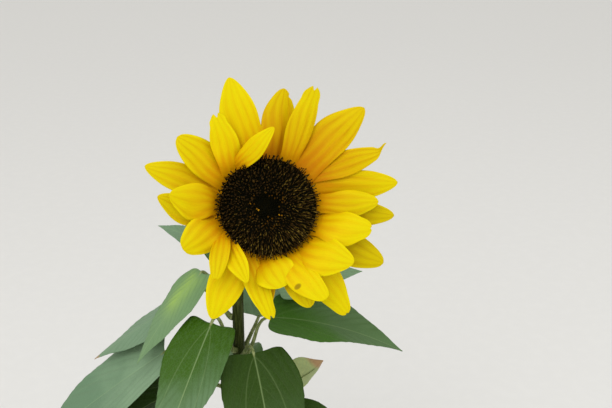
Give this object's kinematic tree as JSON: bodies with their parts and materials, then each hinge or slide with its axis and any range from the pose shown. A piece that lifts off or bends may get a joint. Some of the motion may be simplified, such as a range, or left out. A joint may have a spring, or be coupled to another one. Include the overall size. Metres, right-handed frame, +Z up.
{
  "type": "sunflower plant",
  "caption": "Short garden sunflower rooted in the ground, with one hairy stem, broad drooping leaves on arching stalks and a single bloom that nods forward at the top",
  "frame": {"origin": "centre of the flat cut under the stem, level with the ground; the ground mount is at the origin", "axes": "+Z up along the stem, -Y the side the bloom looks to, +X to the right as seen from that side"},
  "size_m": [0.2887, 0.2412, 0.4736],
  "materials": {
    "stem_green": "green, hairy, ridged herbaceous stem, matte",
    "leaf_green": "dull green leaf with a grey bloom and raised veins, satin",
    "disc_brown": "near-black brown florets, packed in spirals, matte",
    "bract_green": "mid-green hairy bracts, matte",
    "petal_yellow": "lemon to golden yellow petal with fine ribs along it, satin"
  },
  "bodies": {
    "root": {"stem": "stem_green", "leaf_top_left": "leaf_green", "leaf_top_right": "leaf_green", "leaf_high_left": "leaf_green", "leaf_high_left_behind": "leaf_green", "leaf_high_back": "leaf_green", "leaf_mid_left": "leaf_green", "leaf_mid_front_left": "leaf_green", "leaf_mid_front": "leaf_green", "leaf_mid_right": "leaf_green", "leaf_mid_back": "leaf_green", "leaf_low_right": "leaf_green", "leaf_low_right_front": "leaf_green", "leaf_low_left": "leaf_green", "leaf_low_front": "leaf_green", "leaf_low_back": "leaf_green", "leaf_base_right": "leaf_green", "leaf_base_left": "leaf_green", "leaf_foot_front": "leaf_green", "leaf_foot_back": "leaf_green", "seed_disc": "disc_brown", "bract_cup": "bract_green", "petal_front_01": "petal_yellow", "petal_front_02": "petal_yellow", "petal_front_03": "petal_yellow", "petal_front_04": "petal_yellow", "petal_front_05": "petal_yellow", "petal_front_06": "petal_yellow", "petal_front_07": "petal_yellow", "petal_front_08": "petal_yellow", "petal_front_09": "petal_yellow", "petal_front_10": "petal_yellow", "petal_front_11": "petal_yellow", "petal_front_12": "petal_yellow", "petal_front_13": "petal_yellow", "petal_front_14": "petal_yellow", "petal_back_01": "petal_yellow", "petal_back_02": "petal_yellow", "petal_back_03": "petal_yellow", "petal_back_04": "petal_yellow", "petal_back_05": "petal_yellow", "petal_back_06": "petal_yellow", "petal_back_07": "petal_yellow", "petal_back_08": "petal_yellow", "petal_back_09": "petal_yellow", "petal_back_10": "petal_yellow", "petal_back_11": "petal_yellow", "petal_back_12": "petal_yellow", "petal_back_13": "petal_yellow"}
  },
  "joints": []
}
